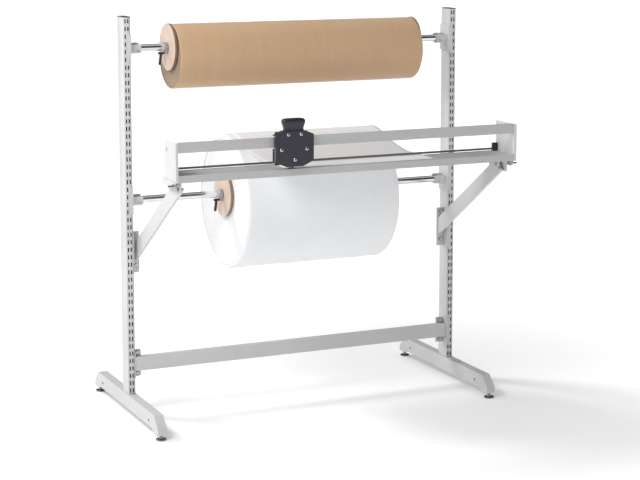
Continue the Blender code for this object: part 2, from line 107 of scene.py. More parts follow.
class Look:
    """A Principled material that is put together from texture nodes."""

    def __init__(self, name, colour, roughness, metallic=0.0, **sockets):
        self.material = bpy.data.materials.new(name)
        self.material.use_nodes = True
        self.tree = self.material.node_tree
        self.shader = self.tree.nodes["Principled BSDF"]
        self.set("Base Color", (*colour, 1))
        self.set("Roughness", roughness)
        self.set("Metallic", metallic)
        for socket, value in sockets.items():
            self.set(socket.replace("_", " "), value)
        self.place = self.node("ShaderNodeTexCoord").outputs["Object"]
        self.height = None

    def node(self, kind, inputs=(), **settings):
        return add_node(self.tree, kind, inputs, **settings)

    def noise(self, scale, detail=2.0, rough=0.5, stretch=None):
        """Noise over the piece's own coordinates, which a stretch gives a direction."""
        place = self.place
        if stretch:
            inputs = {0: self.place, 1: stretch}
            place = self.node("ShaderNodeVectorMath", inputs, operation="MULTIPLY").outputs[0]
        inputs = {"Vector": place, "Scale": scale, "Detail": detail, "Roughness": rough}
        return self.node("ShaderNodeTexNoise", inputs).outputs["Fac"]

    def cells(self, scale):
        inputs = {"Vector": self.place, "Scale": scale}
        return self.node("ShaderNodeTexVoronoi", inputs).outputs["Distance"]

    def maths(self, operation, a, b=0.0):
        return self.node("ShaderNodeMath", {0: a, 1: b}, operation=operation).outputs[0]

    def axes(self, vector):
        return self.node("ShaderNodeSeparateXYZ", {0: vector}).outputs

    def spread(self, value, low, high, to_low, to_high):
        """Takes a value between low and high to one between to_low and to_high."""
        inputs = {"Value": value, 1: low, 2: high, 3: to_low, 4: to_high}
        return self.node("ShaderNodeMapRange", inputs).outputs[0]

    def varied(self, tone, low, high):
        return self.spread(tone, NOISE_LOW, NOISE_HIGH, low, high)

    def ramp(self, value, *stops):
        return add_ramp(self.tree, value, stops)

    def mix(self, share, a, b):
        return add_mix(self.tree, share, a, b)

    def set(self, socket, value):
        feed(self.tree, value, self.shader.inputs[socket])

    def glow(self, strength):
        self.set("Emission Color", (1, 1, 1, 1))
        self.set("Emission Strength", strength)

    def bump(self, height, distance, strength):
        inputs = {"Height": height, "Distance": distance, "Strength": strength}
        new = self.node("ShaderNodeBump", inputs)
        if self.height:
            self.tree.links.new(self.height, new.inputs["Normal"])
        self.height = new.outputs["Normal"]
        self.set("Normal", self.height)

    def radius(self):
        """Distance from the piece's own X axis."""
        parts = self.axes(self.place)
        squares = [self.maths("MULTIPLY", parts[axis], parts[axis]) for axis in "YZ"]
        return self.maths("SQRT", self.maths("ADD", *squares))

    def facing(self):
        """How much a surface faces along X, from 0 to 1."""
        normal = self.node("ShaderNodeNewGeometry").outputs["Normal"]
        return self.maths("ABSOLUTE", self.axes(normal)["X"])


def painted(name, light, dark, rough, shaded_inside=None):
    """Powder coat. The last argument is the uprights' inside, bare steel made near black as
    painted shade so that the slots show dark: its X, half its width and half its depth."""
    look = Look(name, light, rough)
    colour = look.ramp(look.noise(5.0, 3.0), (NOISE_LOW, dark), (NOISE_HIGH, light))
    if shaded_inside:
        tube_x, half_width, half_depth = shaded_inside
        parts = look.axes(look.place)
        off_x = look.maths("SUBTRACT", look.maths("ABSOLUTE", parts["X"]), tube_x)
        off_y = look.maths("SUBTRACT", parts["Y"], MID_Y)
        within = [look.maths("LESS_THAN", look.maths("ABSOLUTE", off), half)
                  for off, half in ((off_x, half_width), (off_y, half_depth))]
        # painted shade: the tube's inside is made near black
        colour = look.mix(look.maths("MULTIPLY", *within), colour, (0.02, 0.021, 0.024))
    look.set("Base Color", colour)
    look.set("Roughness", look.varied(look.noise(38.0, 3.0), rough - 0.05, rough + 0.06))
    look.bump(look.noise(420.0, 2.0), 0.0003, 0.30)
    return look.material


def metal(name, colour, rough, stretch, depth=0.00004, dark=None, metallic=1.0):
    """Brushed, drawn or plated metal: streaks run along the axis that is stretched least."""
    look = Look(name, colour, rough, metallic)
    streaks = look.noise(1.0, 3.0, 0.6, stretch)
    dark = dark or tuple(c * 0.86 for c in colour)
    look.set("Base Color", look.ramp(streaks, (0.32, dark), (0.68, colour)))
    look.set("Roughness", look.varied(streaks, rough - 0.05, rough + 0.07))
    look.bump(streaks, depth, 0.4)
    return look.material


def moulded(name, colour, rough, grain=900.0):
    look = Look(name, colour, rough)
    dark = tuple(c * 0.82 for c in colour)
    patches = look.noise(30.0, 3.0)
    look.set("Base Color", look.ramp(patches, (NOISE_LOW, dark), (NOISE_HIGH, colour)))
    look.set("Roughness", look.varied(look.noise(240.0, 2.0), rough - 0.06, rough + 0.08))
    look.bump(look.noise(grain, 2.0), 0.00025, 0.35)
    return look.material


def kraft_side():
    look = Look("kraft_side", (0.60, 0.40, 0.235), 0.62, Sheen_Weight=0.15, Sheen_Roughness=0.4)
    fibres = look.noise(1.0, 4.0, 0.65, (60.0, 420.0, 420.0))
    bands = look.noise(1.0, 3.0, 0.6, (26.0, 0.6, 0.6))
    cloud = look.noise(9.0, 3.0)
    base = look.ramp(fibres, (NOISE_LOW, (0.500, 0.325, 0.185)),
                     (NOISE_HIGH, (0.590, 0.395, 0.236)))
    base = look.mix(look.spread(bands, 0.35, 0.65, 0.0, 0.20), base, (0.475, 0.305, 0.172))
    base = look.mix(look.spread(cloud, 0.35, 0.65, 0.0, 0.12), base, (0.64, 0.44, 0.272))
    look.set("Base Color", base)
    look.set("Roughness", look.varied(fibres, 0.54, 0.68))
    look.bump(bands, 0.0022, 0.35)
    look.bump(fibres, 0.0003, 0.35)
    return look.material


def wound_end(name, colours, pitch, depth):
    """The end of a wound roll, where every turn shows as a fine line."""
    look = Look(name, colours[1], 0.8)
    radius = look.radius()
    drift = look.maths("MULTIPLY", look.noise(14.0, 2.0), pitch * 2.5)
    turns = look.maths("DIVIDE", look.maths("ADD", radius, drift), pitch)
    inputs = {"W": turns, "Scale": 1.0, "Detail": 3.0}
    lines = look.node("ShaderNodeTexNoise", inputs, noise_dimensions="1D").outputs["Fac"]
    look.set("Base Color", look.ramp(lines, *zip((0.30, 0.50, 0.72), colours)))
    look.bump(lines, depth, 0.8)
    return look.material


def foam(name, light, dark):
    look = Look(name, light, 0.55, Sheen_Weight=0.15, Sheen_Roughness=0.5)
    look.glow(0.07)                    # stands for the light that comes through the foam
    cells = look.cells(300.0)
    ribs = look.noise(1.0, 2.0, 0.5, (55.0, 3.0, 3.0))
    cloud = look.noise(7.0, 3.0)
    look.set("Base Color", look.ramp(cloud, (NOISE_LOW, dark), (NOISE_HIGH, light)))
    look.set("Roughness", look.spread(cells, 0.0, 0.6, 0.48, 0.62))
    look.bump(ribs, 0.0012, 0.25)
    look.bump(cells, 0.0006, 0.25)
    return look.material


def plywood():
    look = Look("beech_plywood", (0.70, 0.52, 0.38), 0.5, Coat_Weight=0.12, Coat_Roughness=0.3)
    grain = look.noise(1.0, 4.0, 0.6, (60.0, 110.0, 9.0))
    figure = look.noise(1.0, 2.0, 0.5, (12.0, 26.0, 3.0))
    face = look.ramp(grain, (0.28, (0.50, 0.375, 0.29)), (0.60, (0.64, 0.50, 0.41)),
                     (0.80, (0.69, 0.56, 0.475)))
    face = look.mix(look.spread(figure, 0.4, 0.65, 0.0, 0.35), face, (0.55, 0.41, 0.32))
    ply = 0.0018                       # thickness of one layer, seen on the rim
    layers = look.maths("PINGPONG", look.axes(look.place)["X"], ply)
    # the rim shows its plies, and their colours are made much darker than the wood's as painted
    # shade, for the shadow that the disc's rim lies in
    rim = look.ramp(look.maths("DIVIDE", layers, ply), (0.42, (0.16, 0.095, 0.055)),
                    (0.58, (0.34, 0.23, 0.145)))
    rim = look.mix(look.varied(grain, 0.0, 0.3), rim, (0.22, 0.14, 0.085))
    end_on = look.spread(look.facing(), 0.55, 0.75, 0.0, 1.0)
    look.set("Base Color", look.mix(end_on, rim, face))
    look.set("Roughness", look.varied(grain, 0.45, 0.6))
    look.bump(grain, 0.0003, 0.35)
    return look.material


COAT = ((0.585, 0.588, 0.590), (0.555, 0.558, 0.560), 0.42)
# the uprights' inside, which is made near black as painted shade
SHADED_INSIDE = (middle("right_upright").x, 0.0143, 0.0367)
DRAWN = (3.0, 900.0, 900.0)            # fine streaks along X

PAINT = painted("light_grey_powder_coat", *COAT)
SLOTTED = painted("slotted_tube_coat", *COAT, SHADED_INSIDE)
ALUMINIUM = metal("anodised_aluminium", (0.53, 0.53, 0.535), 0.55, DRAWN, metallic=0.35)
DARK_BAR = metal("dark_anodised_bar", (0.16, 0.162, 0.165), 0.5, DRAWN, metallic=0.3)
CHROME = metal("chromed_steel", (0.80, 0.81, 0.82), 0.10, (6.0, 500.0, 500.0),
               0.00001, (0.72, 0.73, 0.745))
ZINC = metal("blue_zinc_plate", (0.56, 0.60, 0.65), 0.36, (180.0, 180.0, 180.0),
             0.00006, (0.44, 0.48, 0.53))
PAD = metal("dark_zinc_plate", (0.30, 0.34, 0.37), 0.22, (90.0, 90.0, 90.0),
            0.00005, (0.08, 0.095, 0.11))
SCREW = metal("bright_zinc_screw", (0.78, 0.78, 0.80), 0.26, (260.0, 260.0, 260.0),
              0.00005, (0.60, 0.61, 0.64))
BLADE = metal("ground_blade_steel", (0.66, 0.67, 0.69), 0.22, (900.0, 900.0, 14.0))
BLACK = moulded("black_plastic", (0.022, 0.022, 0.025), 0.42)
CAP = moulded("dark_grey_plastic", (0.085, 0.088, 0.095), 0.5)
CHARCOAL = moulded("charcoal_plastic", (0.021, 0.020, 0.033), 0.34, 620.0)
NYLON = moulded("white_nylon", (0.74, 0.74, 0.70), 0.45)
KRAFT = kraft_side()
KRAFT_END = wound_end("kraft_end", ((0.15, 0.10, 0.066), (0.32, 0.23, 0.155),
                                    (0.47, 0.36, 0.26)), 0.0006, 0.0010)
FOAM = foam("white_foam", (0.765, 0.772, 0.78), (0.735, 0.742, 0.75))
FOAM_END = wound_end("foam_end", ((0.70, 0.706, 0.713), (0.755, 0.760, 0.767),
                                  (0.79, 0.795, 0.80)), 0.0024, 0.0006)
BOARD = wound_end("core_board", ((0.22, 0.16, 0.11), (0.36, 0.27, 0.19),
                                 (0.48, 0.38, 0.28)), 0.0007, 0.0006)
WOOD = plywood()


# ---------------------------------------------------------------- mesh helpers
TO_RIGHT = Matrix.Rotation(pi / 2, 4, "Y")      # each takes a lathe's own Z axis somewhere
TO_LEFT = Matrix.Rotation(-pi / 2, 4, "Y")
TO_FRONT = Matrix.Rotation(pi / 2, 4, "X")
TO_DOWN = Matrix.Rotation(pi, 4, "X")


def outward(side):
    return TO_RIGHT if side > 0 else TO_LEFT


def place(at, turn=None):
    spot = Matrix.Translation(Vector(at))
    return spot @ turn if turn else spot


def lathe(work, profile, spot, steps, index=0, wave=None):
    """Turns (radius, height) points about the spot's Z axis. wave(angle, point number) gives a
    small change in radius and height."""
    rings = []
    for number, (radius, high) in enumerate(profile):
        if radius < 1e-7:              # a point on the axis is one vertex
            rings.append([work.verts.new(spot @ Vector((0, 0, high)))])
            continue
        ring = []
        for step in range(steps):
            angle = 2 * pi * step / steps
            wider, higher = wave(angle, number) if wave else (0.0, 0.0)
            reach = radius + wider
            corner = Vector((reach * cos(angle), reach * sin(angle), high + higher))
            ring.append(work.verts.new(spot @ corner))
        rings.append(ring)
    for first, second in zip(rings, rings[1:]):
        for step in range(steps):
            after = (step + 1) % steps
            corners = [first[step % len(first)], first[after % len(first)],
                       second[after % len(second)], second[step % len(second)]]
            unique = list(dict.fromkeys(corners))
            if len(unique) > 2:
                work.faces.new(unique).material_index = index


def block(work, low, high, bevel=0.0, segments=1):
    size = [b - a for a, b in zip(low, high)]
    centre = [(a + b) / 2 for a, b in zip(low, high)]
    spot = Matrix.Translation(centre) @ Matrix.Diagonal((*size, 1))
    made = bmesh.ops.create_cube(work, size=1, matrix=spot)
    if bevel:
        edges = list({e for v in made["verts"] for e in v.link_edges})
        bmesh.ops.bevel(work, geom=edges, offset=bevel, segments=segments, affect="EDGES",
                        profile=0.6)


def skin(work, rings):
    """Joins each ring of vertices to the next one."""
    for first, second in zip(rings, rings[1:]):
        for i in range(len(first)):
            j = (i + 1) % len(first)
            work.faces.new((first[i], first[j], second[j], second[i]))


def prism(work, outline, low, high, spot):
    """An outline in the spot's XY plane, raised from low to high along its Z."""
    bottom = [work.verts.new(spot @ Vector((x, y, low))) for x, y in outline]
    top = [work.verts.new(spot @ Vector((x, y, high))) for x, y in outline]
    work.faces.new(bottom[::-1])
    work.faces.new(top)
    skin(work, [bottom, top])


def polygon(radius, count, start):
    angles = [start + 2 * pi * i / count for i in range(count)]
    return [(radius * cos(angle), radius * sin(angle)) for angle in angles]


def squared(value, power):
    """Takes a circle's cosine or sine towards a rounded square's, by a power below 1."""
    return (abs(value) ** power) * (1 if value > 0 else -1)


def hex_bolt(work, at, turn, size):
    """A washer and a hexagon head with its chamfer and a shallow dish, standing up along the
    turned Z axis. size is the thread's width."""
    spot = place(at, turn)
    flat = 1.9 * size / 2
    washer = [(0, 0), (flat, 0), (flat, size * 0.12), (flat - size * 0.06, size * 0.17),
              (0, size * 0.17)]
    lathe(work, washer, spot, 24)

    def ring(radius, count, high):
        return [work.verts.new(spot @ Vector((x, y, high))) for x, y in polygon(radius, count, 0.3)]

    across, base, top = size * 0.86, size * 0.17, size * 0.75
    sides = ring(across, 6, base)
    upper = ring(across, 6, top - size * 0.10)
    rim = ring(across * 0.84, 12, top)
    dish = ring(across * 0.60, 12, top - size * 0.05)
    centre = work.verts.new(spot @ Vector((0, 0, top - size * 0.06)))
    skin(work, [sides, upper])
    for i in range(6):
        work.faces.new((upper[i], upper[(i + 1) % 6], rim[(2 * i + 2) % 12], rim[2 * i + 1],
                        rim[2 * i]))
    skin(work, [rim, dish])
    for i in range(12):
        work.faces.new((dish[i], dish[(i + 1) % 12], centre))


def pan_screw(work, at, turn, size):
    """A pan head, with a hexagon socket in the second material. size is the head's width."""
    spot = place(at, turn)
    wide = size / 2
    dome = [(wide, 0.0), (wide, size * 0.10), (wide * 0.93, size * 0.22),
            (wide * 0.78, size * 0.31), (wide * 0.58, size * 0.35), (wide * 0.46, size * 0.355)]
    socket = [(wide * 0.46, size * 0.355), (wide * 0.42, size * 0.30), (wide * 0.42, size * 0.12),
              (0, size * 0.12)]
    lathe(work, dome, spot, 24)
    lathe(work, socket, spot, 24, 1)


def thread(work, spot, radius, low, high, pitch=0.00125, index=0):
    """A stud with the ridges of a thread, closed at both ends."""
    turns = int((high - low) / pitch * 2)
    profile = [(0, low), (radius * 0.80, low)]
    for i in range(turns + 1):
        ridge = radius * (0.86 if i % 2 else 1.0)
        profile.append((ridge, low + 0.0004 + (high - low - 0.0008) * i / turns))
    profile += [(radius * 0.80, high), (0, high)]
    lathe(work, profile, spot, 20, index)


def finish_mesh(name, work, materials=(), sharp=None):
    """Makes the mesh, with smooth shading up to the sharp angle if there is one."""
    bmesh.ops.recalc_face_normals(work, faces=work.faces)
    mesh = bpy.data.meshes.new(name)
    work.to_mesh(mesh)
    work.free()
    for material in materials:
        mesh.materials.append(material)
    if sharp:
        mesh.shade_smooth()
        mesh.set_sharp_from_angle(angle=radians(sharp))
    return mesh


def piece(name, work, materials, body, at, sharp, stands_for=()):
    """Makes an object of the mesh, with its own origin at a point, and lets it ride on its body."""
    bmesh.ops.translate(work, verts=work.verts, vec=-Vector(at))
    new = bpy.data.objects.new(name, finish_mesh(name, work, materials, sharp))
    scene.collection.objects.link(new)
    new.location = at
    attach(new, body)
    if stands_for:
        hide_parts(*stands_for)
    return new


def rounded(new, width, segments, angle=30.0):
    edge = new.modifiers.new("rounded edges", "BEVEL")
    edge.width, edge.segments = width, segments
    edge.limit_method, edge.angle_limit = "ANGLE", radians(angle)
    even = new.modifiers.new("even shading", "WEIGHTED_NORMAL")
    even.keep_sharp = False


# ---------------------------------------------------------------- CAD nodes that stay
def keep(names, material, width):
    """Gives CAD nodes their finish and the small edge radius of sheet and moulded pieces."""
    for name in names:
        node = nodes[name]
        node.data.materials.clear()
        node.data.materials.append(material)
        weld = node.modifiers.new("weld", "WELD")
        weld.merge_threshold = 0.00002
        if width:
            rounded(node, width, 2)
        else:
            node.modifiers.new("even shading", "WEIGHTED_NORMAL")


for word, _ in SIDES:
    keep([f"{word}_upright"], SLOTTED, 0.0)
    keep([f"{word}_foot_beam"], PAINT, 0.0009)
    keep([f"{word}_arm", f"{word}_arm_bracket", f"{word}_crossbar_bracket",
          f"{word}_cutter_mount", f"{word}_end_plate"], PAINT, 0.0006)
    keep([f"{word}_bar_holder"], BLACK, 0.0012)
    for level in LEVELS:
        keep([f"{level}_{word}_rod_holder"], PAINT, 0.0007)
        keep([f"{level}_{word}_disc"], WOOD, 0.0008)
keep(["crossbar"], PAINT, 0.0008)
keep(["upper_rod", "lower_rod"], CHROME, 0.0004)
keep(["upper_rail", "cutting_bed", "blade_holder"], ALUMINIUM, 0.0004)
keep(["film_guide_bar"], DARK_BAR, 0.0008)
keep(["kraft_core", "foam_core"], BOARD, 0.0004)
keep(["upper_glide_shoe", "lower_glide_shoe", "rear_glide_shoe"], NYLON, 0.0004)
keep(["cutter_rear_plate"], CHARCOAL, 0.0008)
keep(["blade"], BLADE, 0.0)


# ---------------------------------------------------------------- rolls
LOOSE = 0.0003                         # between a roll and the core in it
MERGE = 0.00005                        # vertices closer than this become one


def roll_measures(roll, core):
    """A roll's middle, its radius, half its length and the radius of its hole."""
    low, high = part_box(roll)
    core_low, core_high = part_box(core)
    inner = (core_high.z - core_low.z) / 2 + LOOSE
    return (low + high) / 2, (high.z - low.z) / 2, (high.x - low.x) / 2, inner


def kraft_roll():
    at, outer, half, inner = roll_measures("kraft_roll", "kraft_core")
    work = bmesh.new()
    spot = place(at, TO_RIGHT)
    tail = radians(150)                # where the paper's end lies on the roll
    paper_step = 0.0009
    edge = 0.0018
    flush = half - 0.0002              # half the length, just inside the CAD's

    def turn_step(angle):
        return -paper_step * (((angle - tail) % (2 * pi)) / (2 * pi))

    def side_wave(angle, number):
        dent = noise.noise((number * 0.37, cos(angle) * 1.3, sin(angle) * 1.3))
        return turn_step(angle) + 0.0004 * dent - 0.0004, 0.0

    rows = 56
    profile = [(outer - edge, -flush), (outer - edge * 0.3, -half + edge * 0.3)]
    profile += [(outer, -half + edge + (2 * half - 2 * edge) * i / rows) for i in range(rows + 1)]
    profile += [(outer - edge * 0.3, half - edge * 0.3), (outer - edge, flush)]
    lathe(work, profile, spot, 160, 0, side_wave)

    count = 44                         # rings of paper on an end face
    for end in (-1, 1):
        def end_wave(angle, number, end=end):
            wobble = noise.noise((number * 1.7, end * 3.0, 0.4 * cos(angle))) * 0.0009
            wobble += noise.noise((number * 0.21, end * 7.0, 0.9 * sin(angle))) * 0.0012
            inset = 0.0034 if 0 < number < count else 0.0030
            inward = -end * (inset + wobble) if number < count else 0.0
            return turn_step(angle) * number / count, inward

        rings = [(inner + (outer - edge - inner) * i / count, end * flush)
                 for i in range(count + 1)]
        lathe(work, rings, spot, 96, 1, end_wave)
    bmesh.ops.remove_doubles(work, verts=work.verts, dist=MERGE)
    piece("kraft_paper_roll", work, [KRAFT, KRAFT_END], "kraft_supply", at, 50,
          ["kraft_roll"])


def foam_roll():
    at, outer, half, inner = roll_measures("foam_roll", "foam_core")
    work = bmesh.new()
    spot = place(at, TO_RIGHT)
    edge = 0.015                       # radius of the soft edges
    shy = 0.0019                       # keeps the waves inside the CAD's radius

    def side_wave(angle, number):
        loose = noise.noise((number * 0.11, cos(angle) * 1.6, sin(angle) * 1.6))
        fine = noise.noise((number * 0.6, cos(angle) * 5.0, sin(angle) * 5.0))
        return 0.0014 * loose + 0.0005 * fine - shy, 0.0

    rows = 60
    angles = [radians(a) for a in range(0, 91, 15)]
    bend = [(outer - edge + edge * sin(a), edge * (1 - cos(a))) for a in angles]
    profile = [(r, -half + d) for r, d in bend]
    profile += [(outer, -half + edge + (2 * half - 2 * edge) * i / rows) for i in range(1, rows)]
    profile += [(r, half - d) for r, d in reversed(bend)]
    lathe(work, profile, spot, 192, 0, side_wave)

    count = 60                         # rings of foam on an end face
    disc_edge, slope = 0.168, 0.030    # the end is pressed in by the disc, up to this radius
    for end in (-1, 1):
        def end_wave(angle, number, end=end):
            layer = noise.noise((number * 2.3, end * 5.0, 0.5 * cos(angle))) * 0.0008
            slow = noise.noise((number * 0.13, end * 2.0, 1.1 * sin(angle + number * 0.05)))
            radius = inner + (outer - edge - shy - inner) * number / count
            inset = 0.0030 + 0.0070 * min(1.0, max(0.0, (disc_edge - radius) / slope))
            return 0.0, -end * (inset + layer + slow * 0.0022) if number < count else 0.0

        rings = [(inner + (outer - edge - shy - inner) * i / count, end * half)
                 for i in range(count + 1)]
        lathe(work, rings, spot, 120, 1, end_wave)
    bmesh.ops.remove_doubles(work, verts=work.verts, dist=MERGE)
    piece("white_foam_roll", work, [FOAM, FOAM_END], "foam_supply", at, 60, ["foam_roll"])


def spline(points, parts):
    """A smooth curve through the points."""
    found = []
    last = len(points) - 1
    for i in range(last):
        a, b, c, d = (Vector(points[max(0, min(last, i + k))]) for k in (-1, 0, 1, 2))
        for j in range(parts):
            t = j / parts
            found.append(0.5 * ((2 * b) + (c - a) * t + (2 * a - 5 * b + 4 * c - d) * t * t
                                + (3 * b - a - 3 * c + d) * t * t * t))
    return found + [Vector(points[-1])]


def web_of_foam():
    """The foam that is drawn off the top of its roll, over the bed and under the guide bar."""
    low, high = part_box("foam_web")
    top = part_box("foam_roll")[1].z
    drop = [(0.0, top + 0.0018), (-0.030, top + 0.0004), (-0.058, top - 0.0038),
            (-0.088, top - 0.0116), (-0.130, top - 0.0258), (-0.190, top - 0.0444),
            (-0.265, top - 0.0600), (-0.340, top - 0.0695), (-0.400, 1.1132), (-0.445, 1.1136),
            (-0.470, 1.1140), (-0.520, 1.1134), (-0.583, 1.1124)]
    line = spline([(y + MID_Y, z) for y, z in drop], 4)
    first_free, free_rows = 14, 16     # the rows that hang free between the roll and the bed
    across, work, grid = 44, bmesh.new(), []
    for row, point in enumerate(line):
        verts = []
        for column in range(across + 1):
            share = column / across
            x = low.x + (high.x - low.x) * share
            free = sin(pi * min(1, max(0, (row - first_free) / free_rows)))
            lift = 0.0016 * free * noise.noise((x * 6.0, row * 0.12, 3.0))
            rag = 0.0
            if share in (0, 1):
                rag = 0.0008 * noise.noise((row * 0.5, 9.0 * round(share), 1.0))
            inward = (2 * share - 1) * (abs(rag) + 0.0004)
            verts.append(work.verts.new((x - inward, point.x, point.y + lift)))
        grid.append(verts)
    for first, second in zip(grid, grid[1:]):
        for i in range(across):
            work.faces.new((first[i], first[i + 1], second[i + 1], second[i]))
    web = piece("drawn_foam_web", work, [FOAM], "frame", middle("foam_web"), 80,
                ["foam_web"])
    thick = web.modifiers.new("thickness", "SOLIDIFY")
    thick.thickness, thick.offset = 0.0020, 0


kraft_roll()
foam_roll()
web_of_foam()


# ---------------------------------------------------------------- rods' clamps
UPRIGHT = Matrix(((0, 0, 1, 0), (1, 0, 0, 0), (0, 1, 0, 0), (0, 0, 0, 1)))   # XY to world YZ


def serrated_collar(level, word, side):
    """The collar that holds a disc on its rod, with a lobe at the bottom for the lever's pin."""
    name = f"{level}_{word}_collar"
    low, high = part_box(name)
    rod = middle(f"{level}_rod")
    at = Vector(((low.x + high.x) / 2, rod.y, rod.z))
    outer, half = (high.y - low.y) / 2, (high.x - low.x) / 2
    bore, teeth, tooth_depth, shoulder = 0.0153, 26, 0.0016, 0.004
    work = bmesh.new()

    def knurl(angle, number):
        tooth = 0.5 + 0.5 * cos(angle * teeth)
        return (-tooth_depth * (1 - tooth) if 2 <= number <= 4 else 0.0), 0.0

    profile = [(bore, -half), (outer - shoulder, -half), (outer - 0.0007, -half + 0.002),
               (outer, 0.0), (outer - 0.0007, half - 0.002), (outer - shoulder, half),
               (bore, half), (bore, -half)]
    lathe(work, profile, place(at, TO_RIGHT), teeth * 6, 0, knurl)
    foot = low.z - at.z
    half_lobe = [(0.0070, foot), (0.0098, foot + 0.003), (0.0125, -0.0165)]
    lobe = [(-x, z) for x, z in reversed(half_lobe)] + half_lobe
    prism(work, lobe, 0.0012 - half, half - 0.0012, place(at, UPRIGHT))
    flange = [(bore, 0), (0.021, 0), (0.021, 0.0012), (0.0195, 0.0020), (bore, 0.0020)]
    lathe(work, flange, place((at.x + side * half, at.y, at.z), outward(side)), 48)
    piece(f"{level}_{word}_serrated_collar", work, [ZINC], f"{level}_rod_assembly", at,
          40, [name])


def clamp_lever(level, word, side):
    """The lever that tightens a collar: a stub round the pin, and a handle that hangs down."""
    name = f"{level}_{word}_lever"
    low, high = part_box(name)
    root, tip = (low.x, high.x) if side > 0 else (high.x, low.x)
    reach = abs(tip - root)
    at = (root, (low.y + high.y) / 2, high.z - 0.0056)
    work = bmesh.new()
    spot = place(at, outward(side))
    stub = [(0, 0.0002), (0.0048, 0.0002), (0.0052, 0.0010), (0.0052, reach - 0.0030),
            (0.0046, reach - 0.0016), (0.0040, reach - 0.0012), (0, reach - 0.0012)]
    pin = [(0, reach - 0.0016), (0.0030, reach - 0.0016), (0.0030, reach - 0.0006),
           (0.0024, reach - 0.0001), (0, reach - 0.0001)]
    lathe(work, stub, spot, 32)
    lathe(work, pin, spot, 20, 1)

    path = [(0.0128, 0.0034), (0.0136, -0.010), (0.0152, -0.023), (0.0170, -0.036),
            (0.0188, low.z - at[2] + 0.0006)]
    widths = [0.0064, 0.0072, 0.0074, 0.0074, 0.0062]
    corners, blunt = 14, 0.7           # of a section; how narrow the two ends are
    line = spline(path, 5)
    last = len(line) - 1
    rings = []
    for i, point in enumerate(line):
        along = (line[min(i + 1, last)] - line[max(i - 1, 0)]).normalized()
        across = Vector((-along.y, along.x))
        share = i / last
        k = share * (len(widths) - 1)
        j = min(int(k), len(widths) - 2)
        wide = widths[j] + (widths[j + 1] - widths[j]) * (k - j)
        thick = 0.0055 - 0.0003 * sin(pi * share)
        if i in (0, last):
            wide, thick = wide * blunt, thick * blunt
        ring = []
        for step in range(corners):
            angle = 2 * pi * step / corners
            off = across * (thick * squared(sin(angle), 0.75))
            ring.append(work.verts.new((root + side * (point.x + off.x),
                                        at[1] + wide * squared(cos(angle), 0.75),
                                        at[2] + point.y + off.y)))
        rings.append(ring)
    skin(work, rings)
    work.faces.new(rings[0])
    work.faces.new(rings[-1][::-1])
    piece(f"{level}_{word}_clamp_lever", work, [BLACK, ZINC], f"{level}_{word}_clamp",
          at, 45, [name])


for level in LEVELS:
    for word, side in SIDES:
        serrated_collar(level, word, side)
        clamp_lever(level, word, side)


# ---------------------------------------------------------------- cutter head
HEAD_LOW, HEAD_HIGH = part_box("cutter_front_shell")
HEAD_X = (HEAD_LOW.x + HEAD_HIGH.x) / 2
HEAD_FRONT = HEAD_LOW.y + 0.0056       # a little behind the CAD's front, for the screws
SHOULDER = HEAD_HIGH.z - 0.049         # the body's top, where the grip starts


def cutter_shell():
    """The body is wrapped round the rail: a front wall, and the parts above and below the rail."""
    half = (HEAD_HIGH.x - HEAD_LOW.x) / 2
    rail_low, rail_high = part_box("upper_rail")
    clear = 0.006                      # above and below the rail
    wall = rail_low.y - 0.005
    bottom = [(0.036, HEAD_LOW.z), (half, HEAD_LOW.z + 0.022)]
    top = [(half, SHOULDER - 0.016), (0.046, SHOULDER - 0.001)]
    spot = place((HEAD_X, 0, 0), TO_FRONT)
    work = bmesh.new()
    for outline, back, front in (
            (bottom + top, wall, HEAD_FRONT),
            (bottom + [(half, rail_low.z - clear)], HEAD_HIGH.y, wall),
            ([(half, rail_high.z + clear)] + top, HEAD_HIGH.y, wall)):
        prism(work, outline + [(-x, z) for x, z in reversed(outline)], -back, -front, spot)
    bmesh.ops.remove_doubles(work, verts=work.verts, dist=0.00001)
    shell = piece("cutter_shell", work, [CHARCOAL], "cutter_head",
                  (HEAD_X, HEAD_FRONT, HEAD_LOW.z), 30, ["cutter_front_shell"])
    rounded(shell, 0.0032, 4, 25)


def cutter_grip():
    """A waisted, rounded block that stands on the body."""
    depth = (HEAD_HIGH.y - HEAD_FRONT) / 2
    mid_y = (HEAD_FRONT + HEAD_HIGH.y) / 2
    # height over the shoulder, half width, share of the depth
    levels = [(-0.004, 0.0435, 0.98), (0.003, 0.0415, 0.93), (0.009, 0.0410, 0.90),
              (0.017, 0.0428, 0.93), (0.026, 0.0465, 0.98), (0.034, 0.0487, 1.0),
              (0.040, 0.0482, 0.99), (0.0445, 0.0455, 0.95), (0.0475, 0.0400, 0.86),
              (0.0488, 0.0300, 0.68)]
    corners = 40
    work = bmesh.new()
    rings = []
    for high, wide, share in levels:
        ring = []
        for step in range(corners):
            angle = 2 * pi * step / corners
            ring.append(work.verts.new((HEAD_X + wide * squared(cos(angle), 0.42),
                                        mid_y + depth * share * squared(sin(angle), 0.42),
                                        SHOULDER + high)))
        rings.append(ring)
    skin(work, rings)
    top = work.verts.new((HEAD_X, mid_y, SHOULDER + levels[-1][0] + 0.0004))
    for i in range(corners):
        work.faces.new((rings[-1][i], rings[-1][(i + 1) % corners], top))
    work.faces.new(rings[0][::-1])
    piece("cutter_grip", work, [CHARCOAL], "cutter_head", (HEAD_X, mid_y, SHOULDER),
          60)


def cutter_screws():
    work = bmesh.new()
    for x, z in ((-0.029, 0.130), (0.0265, 0.130), (-0.0585, 0.070), (0.051, 0.070), (0, 0.028)):
        pan_screw(work, (HEAD_X + x, HEAD_FRONT + 0.0003, HEAD_LOW.z + z), TO_FRONT, 0.0150)
    piece("cutter_shell_screws", work, [SCREW, BLACK], "cutter_head",
          (HEAD_X, HEAD_FRONT, HEAD_LOW.z), 40)


cutter_shell()
cutter_grip()
cutter_screws()


